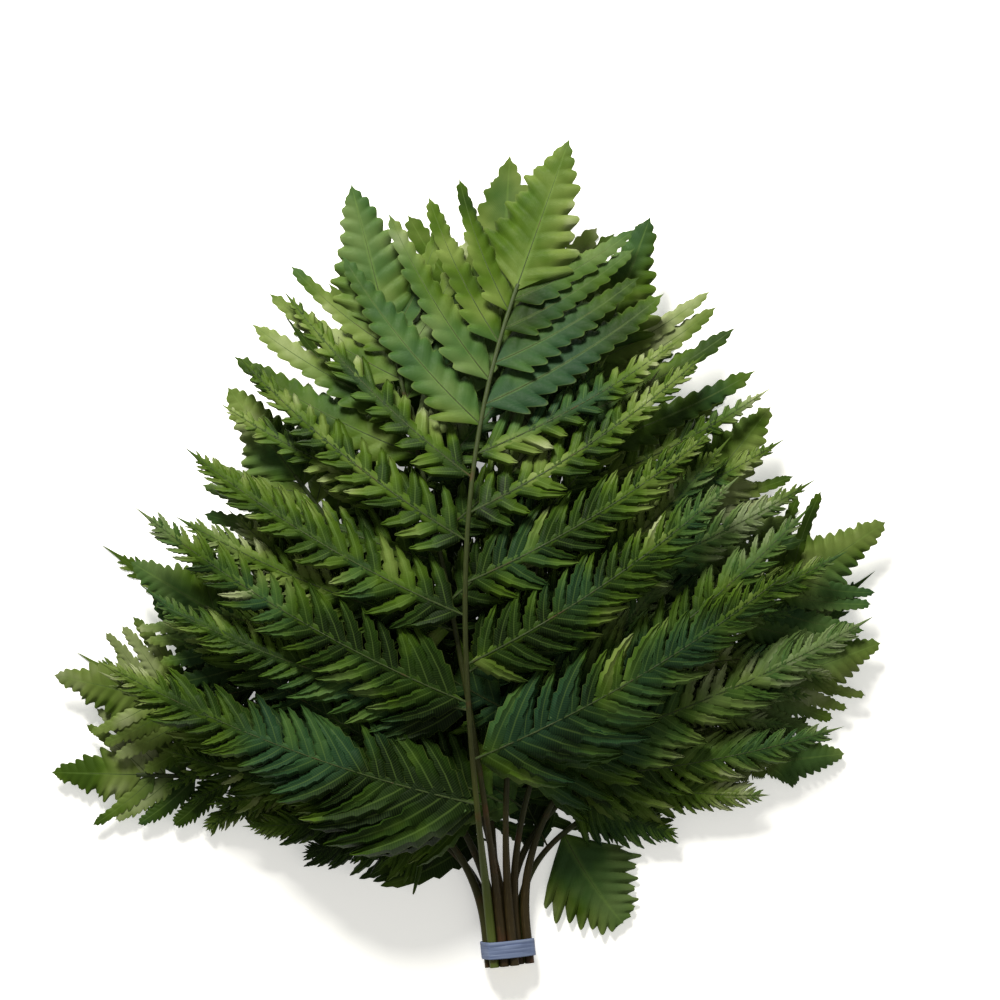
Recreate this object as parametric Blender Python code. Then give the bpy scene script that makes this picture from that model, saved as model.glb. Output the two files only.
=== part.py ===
# A bunch of leatherleaf fern fronds, tied round the stems and lying on its back.
#
# Twelve fronds are laid over one another with their upper sides up. Each one is
# a stem and midrib with nine pairs of leaflets (pinnae) and a lobed end blade,
# all grown as one piece. x runs across the bunch, y from the cut ends of the
# stems to the tips of the fronds, and z is up from the surface that it lies on.
# Sizes below are in millimetres, and build_mesh turns them to metres.

import math

import bmesh
import bpy
import numpy as np
from mathutils import Matrix, Vector

MM = 0.001

# Stems in the tie: rows of round stems that nest into each other
STEM_DIAMETER = 4.8
STEM_PITCH = 5.1
ROW_HEIGHT = 4.42
STEM_LEAN = -6.0
TIE_AT = (22.0, -207.0)
TIE_START = 3.0
TIE_WIDTH = 11.0
TIE_WALL = 1.0
TIE_CORNERS = 24
CLEARANCE = 0.3

# Midrib: the diameters where the blade starts and where the end blade starts
MIDRIB_DIAMETER = 3.0
MIDRIB_TIP_DIAMETER = 1.9
TUBE_SIDES = 5
STEM_STATIONS = 4
STRAIGHT_STEM = 18.0
LEAVING_SHARE = 0.36
ARRIVING_SHARE = 0.30
CURVE_POINTS = 161
INTO_END_BLADE = 3.0

# Leaflets: each pair stands this share of the distance to the tip further on
PAIR_RATIO = 0.85
PAIRS = 9
RIGHT_SIDE_STAGGER = 0.42
LEAFLET_LENGTH = 0.66
LEAST_LEAFLET = 0.2
LEAFLET_LENGTH_GROWTH = 0.02
SHORTEST_DRAW = 0.93
LENGTH_DRAW = 0.14
LEAFLET_REACH = 0.62
FIRST_ANGLE = 70.0
ANGLE_STEP = 2.9
ANGLE_DRAW = 6.0
INWARD_CURVE = 16.0
RIB_POINTS = 17
TEETH = (5, 4, 3, 2, 1, 1, 1, 1, 1)
END_TEETH = 3
FIRST_WEB = 0.08
LAST_WEB = 0.5
RIB_HALF_WIDTH = 0.9
BLADE_THICKNESS = 0.75
FIRST_NOTCH = 0.05
LAST_NOTCH = 0.93
TAPER = 0.7
TOOTH_LEAN = 0.42
END_BLADE_EARLY = 0.2
END_BLADE_REACH = 0.33
END_BLADE_TAPER = 0.9
END_BLADE_TOOTH_LEAN = 0.9

# Layers: how far apart the fronds lie, and how the pile thins towards its edge
LOWEST_MIDRIB = 1.7
LAYER_GAP = 4.5
UPPER_LAYERS = 5
UPPER_GAP_GROWTH = 0.5
UPPER_GAP_POWER = 1.6
GAP_KEPT = 2.5
EDGE_SHARE = 0.45
PILE_HALF_WIDTH = 150.0
PILE_HALF_LENGTH = 140.0

# How a blade lies in its layer's room: shares of the room for its tilt, its sway
# and its droop, and the shares of its length over which sway and sag set in
TILT_SHARE = 0.7
SWAY_SHARE = 0.3
DROOP_SHARE = 0.35
SWAY_OVER = 0.3
SAG_OVER = 0.25

# Each frond, from the lowest to the one on top: its stem's place in the tie in
# pitches and rows, where its tip lies, which way the tip points in degrees from
# +y towards +x, its bare stem, and how much shorter its first leaflets are
FRONDS = [
    dict(slot=-0.5, row=0, tip=(22.0, 203.0), heading=3.0, stem=62.0, left=1.0, right=1.0),
    dict(slot=1.5, row=0, tip=(192.0, -103.0), heading=92.0, stem=62.0, left=1.0, right=-2.5),
    dict(slot=-1.5, row=0, tip=(-210.0, -110.0), heading=-88.0, stem=80.0, left=0.0, right=1.0),
    dict(slot=0.5, row=0, tip=(209.5, -44.0), heading=68.0, stem=86.0, left=0.8, right=0.5),
    dict(slot=-2.0, row=1, tip=(-208.5, -61.5), heading=-80.0, stem=86.0, left=0.5, right=1.0),
    dict(slot=2.0, row=1, tip=(211.0, 18.0), heading=52.0, stem=88.0, left=1.0, right=0.7),
    dict(slot=-1.0, row=1, tip=(-169.0, -3.0), heading=-58.0, stem=92.0, left=0.8, right=1.0),
    dict(slot=1.0, row=1, tip=(153.5, 75.0), heading=38.0, stem=80.0, left=1.0, right=1.0),
    dict(slot=0.0, row=1, tip=(-121.0, 84.0), heading=-40.0, stem=81.0, left=1.0, right=1.0),
    dict(slot=0.5, row=2, tip=(95.0, 169.5), heading=24.0, stem=83.0, left=1.0, right=1.1),
    dict(slot=-0.5, row=2, tip=(-58.5, 186.0), heading=-16.0, stem=84.0, left=0.9, right=1.0),
    dict(slot=-1.5, row=2, tip=(58.5, 206.0), heading=29.0, stem=85.0, left=0.9, right=0.9,
         arriving=0.40),
]

# The leaflet that hangs down beside the stems, on the frond second from below
HANGING_FROND = 1
HANGING_ANGLE = 104.0
HANGING_LENGTH = 55.0
HANGING_REACH = 26.0

LEAF_COLOUR = (0.09, 0.17, 0.045, 1.0)
TIE_COLOUR = (0.52, 0.56, 0.66, 1.0)


def ease(t):
    """Rises smoothly from 0 to 1 as t does."""
    t = np.clip(t, 0.0, 1.0)
    return t * t * (3.0 - 2.0 * t)


def draw(number):
    """A repeatable draw from 0 to 1 for each number."""
    return (math.sin(number * 12.9898 + 4.137) * 43758.5453) % 1.0


def direction(heading):
    """The level direction of a heading in radians, from +y towards +x."""
    return np.array([math.sin(heading), math.cos(heading), 0.0])


def rightward(heading):
    """The level direction to the right of a heading."""
    return np.array([math.cos(heading), -math.sin(heading), 0.0])


def gap_above(layer):
    """The gap in the middle of the pile between a layer and the next one."""
    if layer < 0:
        return LAYER_GAP
    upper = max(0, layer - UPPER_LAYERS)
    return LAYER_GAP + UPPER_GAP_GROWTH * upper ** UPPER_GAP_POWER


def layer_height(layer):
    """A layer's height over the lowest one, in the middle of the pile."""
    return sum(gap_above(below) for below in range(layer))


def pile_share(x, y):
    """How thick the pile is at a place: 1 in the middle, less at the edge."""
    bulge = math.exp(-(x / PILE_HALF_WIDTH) ** 2 - (y / PILE_HALF_LENGTH) ** 2)
    return EDGE_SHARE + (1.0 - EDGE_SHARE) * bulge


def tie_frame():
    """The tie's corner of the stems: its origin, its right and its forward."""
    heading = math.radians(STEM_LEAN)
    origin = np.array([TIE_AT[0], TIE_AT[1], 0.0])
    return origin, rightward(heading), direction(heading)


def stem_row_height(row):
    """The height of a row of stems' middles where they lie in the tie."""
    return TIE_WALL + CLEARANCE + STEM_DIAMETER / 2.0 + row * ROW_HEIGHT


class Midrib:
    """A frond's stem and midrib: a curve in plan, given its height by its layer."""

    def __init__(self, layer, frond):
        self.layer = layer
        self.frond = frond
        origin, right, forward = tie_frame()
        cut = origin + frond["slot"] * STEM_PITCH * right
        start = cut + STRAIGHT_STEM * forward
        end = np.array([frond["tip"][0], frond["tip"][1], 0.0])
        span = np.linalg.norm(end - start)
        leave = start + LEAVING_SHARE * span * forward
        arriving = frond.get("arriving", ARRIVING_SHARE) * span
        arrive = end - arriving * direction(math.radians(frond["heading"]))
        t = np.linspace(0.0, 1.0, CURVE_POINTS)[:, None]
        s = 1.0 - t
        bend = s ** 3 * start + 3 * s ** 2 * t * leave + 3 * s * t ** 2 * arrive + t ** 3 * end
        straight = cut + np.linspace(0.0, 0.9, 10)[:, None] * STRAIGHT_STEM * forward
        curve = np.concatenate([straight, bend])
        steps = np.linalg.norm(np.diff(curve, axis=0), axis=1)
        self.along = np.concatenate([[0.0], np.cumsum(steps)])
        self.curve = curve
        slope = np.gradient(curve, self.along, axis=0)
        self.heading = np.unwrap(np.arctan2(slope[:, 0], slope[:, 1]))
        self.length = self.along[-1]
        self.blade = self.length - frond["stem"]

    def plan(self, s):
        """Where the midrib is at a length s from the cut end, seen from above."""
        return np.array([np.interp(s, self.along, self.curve[:, axis]) for axis in range(2)])

    def turned(self, s):
        """The midrib's heading at a length s."""
        return float(np.interp(s, self.along, self.heading))

    def height(self, s):
        """The stem rises from its row in the tie to its frond's layer."""
        x, y = self.plan(s)
        layer = LOWEST_MIDRIB + pile_share(x, y) * layer_height(self.layer)
        share = float(ease((s - STRAIGHT_STEM) / (self.frond["stem"] - STRAIGHT_STEM)))
        return (1.0 - share) * stem_row_height(self.frond["row"]) + share * layer

    def point(self, s):
        """The midrib's middle at a length s."""
        x, y = self.plan(s)
        return np.array([x, y, self.height(s)])

    def radius(self, s):
        """The stem thins to the blade, and the midrib thins on to the tip."""
        stem = self.frond["stem"]
        thin = float(ease((s - STRAIGHT_STEM) / (stem - STRAIGHT_STEM)))
        base = STEM_DIAMETER + (MIDRIB_DIAMETER - STEM_DIAMETER) * thin
        out = min(1.0, max(0.0, (s - stem) / self.blade))
        return (base + (MIDRIB_TIP_DIAMETER - MIDRIB_DIAMETER) * out) / 2.0


class Blade:
    """One leaflet or end blade: a curved rib in plan with room to tilt in its layer."""

    def __init__(self, midrib, s, angle, length, reach, taper, teeth, web, curve, lean, seed):
        self.midrib = midrib
        self.length = length
        self.reach = reach
        self.taper = taper
        self.teeth = teeth
        self.web = web
        self.lean = lean
        self.side = 1.0 if angle >= 0.0 else -1.0
        self.root = midrib.point(s)
        self.root_half_width = min(RIB_HALF_WIDTH, 0.7 * midrib.radius(s))
        self.seed = seed
        share = np.linspace(0.0, 1.0, RIB_POINTS)
        start = midrib.turned(s) + math.radians(angle)
        self.share = share
        self.turn = start - self.side * math.radians(curve) * share
        step = length / (len(share) - 1)
        x = np.concatenate([[0.0], np.cumsum(np.sin(self.turn[:-1]) * step)])
        y = np.concatenate([[0.0], np.cumsum(np.cos(self.turn[:-1]) * step)])
        self.x = self.root[0] + x
        self.y = self.root[1] + y

    def lift(self, share, offset):
        """How far a point lies above its layer's middle: the half towards the cut
        ends tilts up, the half towards the tip tilts down, and the far end droops."""
        layer = self.midrib.layer
        up = (gap_above(layer) - GAP_KEPT) / 2.0
        down = (gap_above(layer - 1) - GAP_KEPT) / 2.0
        across = offset / self.reach
        free = float(ease(share / SWAY_OVER))
        sway = free * (2.0 * draw(self.seed + 0.25) - 1.0)
        rise = TILT_SHARE * max(0.0, across) * up - TILT_SHARE * max(0.0, -across) * down
        rise += SWAY_SHARE * sway * (up if sway > 0.0 else down)
        rise -= DROOP_SHARE * share * share * down
        return min(up, max(-down, rise))

    def point(self, share, offset, forward):
        """A point of the blade's middle sheet: share along the rib, offset to the
        side that faces the cut ends, and a shift forward along the rib."""
        x = float(np.interp(share, self.share, self.x))
        y = float(np.interp(share, self.share, self.y))
        turn = float(np.interp(share, self.share, self.turn))
        place = np.array([x, y, 0.0])
        place += forward * direction(turn) + self.side * offset * rightward(turn)
        layer = self.midrib.layer
        thick = pile_share(place[0], place[1])
        rise = thick * self.lift(share, offset)
        place[2] = LOWEST_MIDRIB + thick * layer_height(layer) + rise
        if layer == 0:
            settled = float(ease(share / SAG_OVER))
            lowest = BLADE_THICKNESS / 2.0
            place[2] = max(lowest, place[2] - settled * (LOWEST_MIDRIB - lowest))
        return place

    def tooth_reach(self, share):
        """How far the teeth stand out from the rib at a share of its length."""
        return self.reach * (1.0 - share) ** self.taper + RIB_HALF_WIDTH

    def notch_reach(self, share):
        """How far the notches between the teeth stand out from the rib."""
        return RIB_HALF_WIDTH + self.web * (self.tooth_reach(share) - RIB_HALF_WIDTH)

    def sheet(self):
        """The blade's points and triangles: a strip along the rib cut into teeth."""
        points = [self.point(0.0, self.root_half_width, 0.0)]
        points.append(self.point(0.0, -self.root_half_width, 0.0))
        notches = np.linspace(FIRST_NOTCH, LAST_NOTCH, self.teeth + 1)
        for notch in notches:
            points.append(self.point(notch, self.notch_reach(notch), 0.0))
            points.append(self.point(notch, -self.notch_reach(notch), 0.0))
        triangles = []
        for step in range(self.teeth + 1):
            low, high = 2 * step, 2 * step + 2
            triangles.append((low, low + 1, high + 1))
            triangles.append((low, high + 1, high))
        for tooth in range(self.teeth):
            middle = (notches[tooth] + notches[tooth + 1]) / 2.0
            reach = self.tooth_reach(middle)
            for edge, offset in ((0, reach), (1, -reach)):
                low = 2 * tooth + 2 + edge
                points.append(self.point(middle, offset, self.lean * reach))
                triangle = (low, low + 2, len(points) - 1)
                triangles.append(triangle if edge == 0 else triangle[::-1])
        points.append(self.point(1.0, 0.0, 0.0))
        last = 2 * self.teeth + 2
        triangles.append((last, last + 1, len(points) - 1))
        if self.side < 0.0:
            triangles = [triangle[::-1] for triangle in triangles]
        return points, triangles


def thicken(points, triangles):
    """A closed solid of a sheet of triangles, alike on its upper and under side."""
    half = np.array([0.0, 0.0, BLADE_THICKNESS / 2.0])
    count = len(points)
    vertices = [point + half for point in points] + [point - half for point in points]
    faces = [tuple(triangle) for triangle in triangles]
    faces += [tuple(corner + count for corner in triangle[::-1]) for triangle in triangles]
    edges = set()
    for a, b, c in triangles:
        edges.update(((a, b), (b, c), (c, a)))
    for a, b in sorted(edges):
        if (b, a) not in edges:
            faces.append((b, a, a + count))
            faces.append((b, a + count, b + count))
    return vertices, faces


def leaflet_blades(midrib):
    """A frond's leaflets, in pairs that shorten towards the tip, and its end blade."""
    frond, layer = midrib.frond, midrib.layer
    blades = []
    for pair in range(PAIRS):
        for side in (-1, 1):
            stagger = RIGHT_SIDE_STAGGER if side > 0 else 0.0
            to_tip = midrib.blade * PAIR_RATIO ** (pair + stagger)
            seed = 100 * layer + 2 * pair + (1 if side > 0 else 0)
            first = frond["right"] if side > 0 else frond["left"]
            shorter = max(LEAST_LEAFLET, 1.0 + (first - 1.0) * (1.0 - pair / PAIRS))
            web = FIRST_WEB + (LAST_WEB - FIRST_WEB) * pair / PAIRS
            length = (LEAFLET_LENGTH + LEAFLET_LENGTH_GROWTH * pair) * to_tip
            length *= (SHORTEST_DRAW + LENGTH_DRAW * draw(seed)) * shorter
            angle = FIRST_ANGLE - ANGLE_STEP * pair + ANGLE_DRAW * (draw(seed + 0.5) - 0.5)
            reach = LEAFLET_REACH * (1.0 - PAIR_RATIO) * to_tip * math.sin(math.radians(angle))
            if layer == HANGING_FROND and pair == 0 and side > 0:
                angle, length, reach = HANGING_ANGLE, HANGING_LENGTH, HANGING_REACH
                web = LAST_WEB
            s = midrib.length - to_tip
            blades.append(Blade(midrib, s, side * angle, length, reach, TAPER, TEETH[pair], web,
                                INWARD_CURVE, TOOTH_LEAN, seed))
    end = midrib.blade * PAIR_RATIO ** (PAIRS - END_BLADE_EARLY)
    blades.append(Blade(midrib, midrib.length - end, 0.0, end, END_BLADE_REACH * end,
                        END_BLADE_TAPER, END_TEETH, LAST_WEB, 0.0, END_BLADE_TOOTH_LEAN,
                        100 * layer + 2 * PAIRS))
    return blades


def midrib_tube(midrib):
    """The stem and midrib as one tube that thins from the cut end to the end blade."""
    end_blade = midrib.blade * PAIR_RATIO ** (PAIRS - END_BLADE_EARLY)
    last = midrib.length - end_blade + INTO_END_BLADE
    stem = midrib.frond["stem"]
    stations = [0.0] + list(np.linspace(STRAIGHT_STEM, stem, STEM_STATIONS))
    for pair in range(1, PAIRS):
        stations.append(midrib.length - midrib.blade * PAIR_RATIO ** pair)
    stations.append(last)
    vertices = []
    for s in stations:
        tangent = midrib.point(s + 1.0) - midrib.point(max(0.0, s - 1.0))
        tangent /= np.linalg.norm(tangent)
        right = rightward(midrib.turned(s))
        up = np.cross(right, tangent)
        middle, radius = midrib.point(s), midrib.radius(s)
        for corner in range(TUBE_SIDES):
            turn = -math.pi / 2.0 + (corner + 0.5) * 2.0 * math.pi / TUBE_SIDES
            vertices.append(middle + radius * (math.cos(turn) * right + math.sin(turn) * up))
    faces = [tuple(reversed(range(TUBE_SIDES)))]
    for station in range(len(stations) - 1):
        for corner in range(TUBE_SIDES):
            after = (corner + 1) % TUBE_SIDES
            low, high = station * TUBE_SIDES, (station + 1) * TUBE_SIDES
            faces.append((low + corner, low + after, high + after, high + corner))
    top = (len(stations) - 1) * TUBE_SIDES
    faces.append(tuple(top + corner for corner in range(TUBE_SIDES)))
    return vertices, faces


def build_mesh(name, vertices, faces):
    """A mesh object in metres, its faces turned outwards."""
    mesh = bpy.data.meshes.new(name)
    mesh.from_pydata([Vector(vertex) * MM for vertex in vertices], [], faces)
    shape = bmesh.new()
    shape.from_mesh(mesh)
    bmesh.ops.recalc_face_normals(shape, faces=shape.faces)
    shape.to_mesh(mesh)
    shape.free()
    piece = bpy.data.objects.new(name, mesh)
    bpy.context.scene.collection.objects.link(piece)
    return piece


def keep_largest_body(piece):
    """Drops the loose scraps and the sealed hollows that a union can leave."""
    shape = bmesh.new()
    shape.from_mesh(piece.data)
    unseen = set(shape.verts)
    bodies = []
    while unseen:
        body = []
        front = [unseen.pop()]
        while front:
            vertex = front.pop()
            body.append(vertex)
            for edge in vertex.link_edges:
                other = edge.other_vert(vertex)
                if other in unseen:
                    unseen.remove(other)
                    front.append(other)
        bodies.append(body)
    bodies.sort(key=len)
    for body in bodies[:-1]:
        bmesh.ops.delete(shape, geom=body, context="VERTS")
    shape.to_mesh(piece.data)
    shape.free()


def fuse(name, pieces):
    """Joins a frond's pieces into the first of them by one union."""
    group = bpy.data.collections.new(name + "_pieces")
    base = pieces[0]
    for piece in pieces[1:]:
        group.objects.link(piece)
    union = base.modifiers.new("union", "BOOLEAN")
    union.operation = "UNION"
    union.operand_type = "COLLECTION"
    union.collection = group
    union.solver = "EXACT"
    graph = bpy.context.evaluated_depsgraph_get()
    joined = bpy.data.meshes.new_from_object(base.evaluated_get(graph))
    base.modifiers.clear()
    base.data = joined
    for piece in pieces[1:]:
        bpy.data.objects.remove(piece)
    bpy.data.collections.remove(group)
    keep_largest_body(base)
    return base


def material(name, colour, roughness):
    """A plain finish in one colour."""
    finish = bpy.data.materials.new(name)
    finish.use_nodes = True
    shader = finish.node_tree.nodes["Principled BSDF"]
    shader.inputs["Base Color"].default_value = colour
    shader.inputs["Roughness"].default_value = roughness
    shader.inputs["Metallic"].default_value = 0.0
    return finish


def dress(piece, finish, sharp_angle):
    """Gives a piece its finish, smooth where it is round."""
    piece.data.materials.clear()
    piece.data.materials.append(finish)
    piece.data.shade_smooth()
    piece.data.set_sharp_from_angle(angle=math.radians(sharp_angle))


def make_frond(layer, frond):
    """One frond: stem, midrib, leaflets and end blade in one body."""
    name = "frond_%02d" % (layer + 1)
    midrib = Midrib(layer, frond)
    pieces = [build_mesh(name, *midrib_tube(midrib))]
    for number, blade in enumerate(leaflet_blades(midrib)):
        vertices, faces = thicken(*blade.sheet())
        pieces.append(build_mesh("%s_blade_%02d" % (name, number), vertices, faces))
    piece = fuse(name, pieces)
    dress(piece, material(name + "_leaf", LEAF_COLOUR, 0.5), 35.0)
    return piece


def tie_outline(offset):
    """The outline round all the stems, at an offset from their surfaces."""
    middles = []
    for frond in FRONDS:
        middles.append((frond["slot"] * STEM_PITCH, stem_row_height(frond["row"])))
    outline = []
    for corner in range(TIE_CORNERS):
        turn = -math.pi / 2.0 + (corner + 0.5) * 2.0 * math.pi / TIE_CORNERS
        if abs(turn + math.pi / 2.0) < math.pi / TIE_CORNERS or corner == TIE_CORNERS - 1:
            turn = -math.pi / 2.0 + (1e-6 if corner == 0 else -1e-6)
        c, s = math.cos(turn), math.sin(turn)
        x, z = max(middles, key=lambda middle: middle[0] * c + middle[1] * s)
        reach = STEM_DIAMETER / 2.0 + offset
        outline.append((x + reach * c, z + reach * s))
    return outline


def make_tie():
    """The band round the stems, with its underside flat on the surface."""
    origin, right, forward = tie_frame()
    inner = tie_outline(CLEARANCE)
    outer = tie_outline(CLEARANCE + TIE_WALL)
    count = len(inner)
    vertices = []
    for along in (TIE_START, TIE_START + TIE_WIDTH):
        for outline in (outer, inner):
            for x, z in outline:
                place = origin + right * x + forward * along
                place[2] = z
                vertices.append(place)
    faces = []
    for corner in range(count):
        after = (corner + 1) % count
        for ring_a, ring_b in ((0, 1), (1, 3), (3, 2), (2, 0)):
            a, b = ring_a * count, ring_b * count
            faces.append((a + corner, a + after, b + after, b + corner))
    piece = build_mesh("tie", vertices, faces)
    dress(piece, material("tie_band", TIE_COLOUR, 0.6), 50.0)
    return piece


def centre(pieces):
    """Moves the meshes so that the middle of the box's base is the origin."""
    corners = np.array([vertex.co for piece in pieces for vertex in piece.data.vertices])
    low, high = corners.min(axis=0), corners.max(axis=0)
    shift = Vector((-(low[0] + high[0]) / 2.0, -(low[1] + high[1]) / 2.0, -low[2]))
    for piece in pieces:
        piece.data.transform(Matrix.Translation(shift))


for leftover in list(bpy.data.objects):
    bpy.data.objects.remove(leftover)

bunch = [make_frond(layer, frond) for layer, frond in enumerate(FRONDS)]
bunch.append(make_tie())
centre(bunch)
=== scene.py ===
import math

import bpy
import numpy as np
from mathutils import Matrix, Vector


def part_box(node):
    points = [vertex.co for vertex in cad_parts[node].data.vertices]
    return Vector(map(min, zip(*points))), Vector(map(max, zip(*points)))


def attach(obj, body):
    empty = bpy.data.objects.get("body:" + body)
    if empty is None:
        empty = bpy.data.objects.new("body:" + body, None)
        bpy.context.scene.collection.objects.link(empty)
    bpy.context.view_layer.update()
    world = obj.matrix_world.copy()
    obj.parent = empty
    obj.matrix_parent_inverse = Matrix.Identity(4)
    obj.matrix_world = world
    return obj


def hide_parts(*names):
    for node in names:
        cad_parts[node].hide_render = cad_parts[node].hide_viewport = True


# A tied bunch of leatherleaf fern lying on its back, seen from above.
# Lengths are in millimetres in the bunch's own plan; putMesh turns them to metres in the frame.

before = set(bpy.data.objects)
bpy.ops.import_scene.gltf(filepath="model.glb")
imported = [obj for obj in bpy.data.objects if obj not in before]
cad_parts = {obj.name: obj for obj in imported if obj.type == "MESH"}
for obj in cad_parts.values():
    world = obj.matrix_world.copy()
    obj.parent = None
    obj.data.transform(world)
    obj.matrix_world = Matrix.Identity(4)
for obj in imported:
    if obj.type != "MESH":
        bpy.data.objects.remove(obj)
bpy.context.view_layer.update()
mm = 0.001
uvLength = 10.0  # millimetres along a piece to one unit of its uv

# The stems in the tie, the layers that the fronds lie in, and the pile that thins from its middle outwards
bunch = {
    "stemThick": 4.8, "stemPitch": 5.1, "rowRise": 4.42, "stemLean": -6.0,
    "tieAt": (22.0, -207.0), "tieStart": 3.0, "tieWide": 11.0, "tieWall": 1.0,
    "clearance": 0.3, "straightStem": 18.0, "leaving": 0.36, "arriving": 0.30, "curvePoints": 161,
    "lowestMidrib": 1.7, "layerGap": 4.5, "gapKept": 2.5,
    "upperFrom": 5, "upperGrowth": 0.5, "upperPower": 1.6,
    "edgeShare": 0.45, "halfWide": 150.0, "halfLong": 140.0,
}

# Each frond, from the lowest to the one on top: its slot and row in the tie, its tip, the way that
# the tip points, its bare stem, and how much shorter its first leaflets are on each side
fronds = [
    dict(slot=-0.5, row=0, tip=(22.0, 203.0), heading=3.0, stem=62.0, left=1.0, right=1.0),
    dict(slot=1.5, row=0, tip=(192.0, -103.0), heading=92.0, stem=62.0, left=1.0, right=-2.5),
    dict(slot=-1.5, row=0, tip=(-210.0, -110.0), heading=-88.0, stem=80.0, left=0.0, right=1.0),
    dict(slot=0.5, row=0, tip=(209.5, -44.0), heading=68.0, stem=86.0, left=0.8, right=0.5),
    dict(slot=-2.0, row=1, tip=(-208.5, -61.5), heading=-80.0, stem=86.0, left=0.5, right=1.0),
    dict(slot=2.0, row=1, tip=(211.0, 18.0), heading=52.0, stem=88.0, left=1.0, right=0.7),
    dict(slot=-1.0, row=1, tip=(-169.0, -3.0), heading=-58.0, stem=92.0, left=0.8, right=1.0),
    dict(slot=1.0, row=1, tip=(153.5, 75.0), heading=38.0, stem=80.0, left=1.0, right=1.0),
    dict(slot=0.0, row=1, tip=(-121.0, 84.0), heading=-40.0, stem=81.0, left=1.0, right=1.0),
    dict(slot=0.5, row=2, tip=(95.0, 169.5), heading=24.0, stem=83.0, left=1.0, right=1.1),
    dict(slot=-0.5, row=2, tip=(-58.5, 186.0), heading=-16.0, stem=84.0, left=0.9, right=1.0),
    dict(slot=-1.5, row=2, tip=(58.5, 206.0), heading=29.0, stem=85.0, left=0.9, right=0.9,
         arriving=0.40),
]


def ease(t):
    # rises smoothly from 0 to 1: three times the square less twice the cube
    t = np.clip(t, 0.0, 1.0)
    return t * t * (3.0 - 2.0 * t)


def draws(number):
    # a repeatable draw from 0 to 1 for each number: the fraction of a large sine
    return np.mod(np.sin(np.asarray(number, dtype=float) * 12.9898 + 4.137) * 43758.5453, 1.0)


def gapAbove(layer):
    # the gap over a layer in the middle of the pile; over the upper layers it grows by a power
    upper = max(0, layer - bunch["upperFrom"])
    return bunch["layerGap"] + bunch["upperGrowth"] * upper ** bunch["upperPower"]


def layerRise(layer):
    # all the gaps under a layer together
    return sum(gapAbove(below) for below in range(layer))


def pileShare(x, y):
    # a low bell over the plan: 1 in the middle, edgeShare far out
    bell = np.exp(-(x / bunch["halfWide"]) ** 2 - (y / bunch["halfLong"]) ** 2)
    return bunch["edgeShare"] + (1.0 - bunch["edgeShare"]) * bell


def tieAxes():
    # where the stems are cut, and the tie's right and forward in plan
    lean = math.radians(bunch["stemLean"])
    right = np.array([math.cos(lean), -math.sin(lean)])
    return np.array(bunch["tieAt"]), right, np.array([math.sin(lean), math.cos(lean)])


def rowHeight(row):
    # the middle of a row of stems over the surface, where they lie in the tie
    return bunch["tieWall"] + bunch["clearance"] + bunch["stemThick"] / 2.0 + row * bunch["rowRise"]


def frameShift():
    # the tie stands at a known place in the plan and at its node's box in the frame
    origin, _, forward = tieAxes()
    plan = origin + forward * (bunch["tieStart"] + bunch["tieWide"] / 2.0)
    low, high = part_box("tie")
    middle = [(low[axis] + high[axis]) / 2.0 / mm for axis in range(2)]
    return np.array([middle[0] - plan[0], middle[1] - plan[1], 0.0])


shift = frameShift()


def midribLine(layer):
    # straight through the tie, then one cubic curve from there to the tip, in plan
    frond = fronds[layer]
    origin, right, forward = tieAxes()
    cut = origin + frond["slot"] * bunch["stemPitch"] * right
    start = cut + bunch["straightStem"] * forward
    end = np.array(frond["tip"])
    span = np.linalg.norm(end - start)
    tipTurn = math.radians(frond["heading"])
    leave = start + bunch["leaving"] * span * forward
    arriving = frond.get("arriving", bunch["arriving"]) * span
    arrive = end - arriving * np.array([math.sin(tipTurn), math.cos(tipTurn)])
    t = np.linspace(0.0, 1.0, bunch["curvePoints"])[:, None]
    s = 1.0 - t
    bend = s ** 3 * start + 3 * s ** 2 * t * leave + 3 * s * t ** 2 * arrive + t ** 3 * end
    straight = cut + np.linspace(0.0, 0.9, 10)[:, None] * bunch["straightStem"] * forward
    plan = np.concatenate([straight, bend])
    along = np.concatenate([[0.0], np.cumsum(np.linalg.norm(np.diff(plan, axis=0), axis=1))])
    slope = np.gradient(plan, along, axis=0)
    turn = np.unwrap(np.arctan2(slope[:, 0], slope[:, 1]))
    return dict(layer=layer, frond=frond, along=along, plan=plan, turn=turn, long=along[-1],
                blade=along[-1] - frond["stem"])


def midribPoint(line, s):
    # the height eases from the stem's row in the tie to the frond's layer
    x = np.interp(s, line["along"], line["plan"][:, 0])
    y = np.interp(s, line["along"], line["plan"][:, 1])
    settled = bunch["lowestMidrib"] + pileShare(x, y) * layerRise(line["layer"])
    straight = bunch["straightStem"]
    share = ease((s - straight) / (line["frond"]["stem"] - straight))
    return np.stack([x, y, (1.0 - share) * rowHeight(line["frond"]["row"]) + share * settled], axis=-1)


# The leaflets: how they shorten towards the tip, how they stand, lie and taper, and the one that hangs down
leaflets = {
    "pairs": 9, "pairRatio": 0.85, "rightStagger": 0.42,
    "length": 0.66, "lengthGrowth": 0.02, "shortest": 0.93, "lengthDraw": 0.14, "least": 0.2,
    "reach": 0.62, "taper": 0.7, "ribHalf": 0.9, "ribBlunt": 12.0,
    "firstAngle": 70.0, "angleStep": 2.9, "angleDraw": 6.0, "inwardCurve": 16.0,
    "ribOver": 1.25, "ribPoints": 51, "firstWeb": 0.08, "lastWeb": 0.5, "bladeThick": 0.75,
    "tilt": 0.7, "sway": 0.3, "droop": 0.35, "swayOver": 0.3, "sagOver": 0.25,
    "endReach": 0.33, "endTaper": 0.9, "endFrom": 0.2,
    "hangingFrond": 1, "hangingAngle": 104.0, "hangingLength": 55.0, "hangingReach": 26.0,
}


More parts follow.
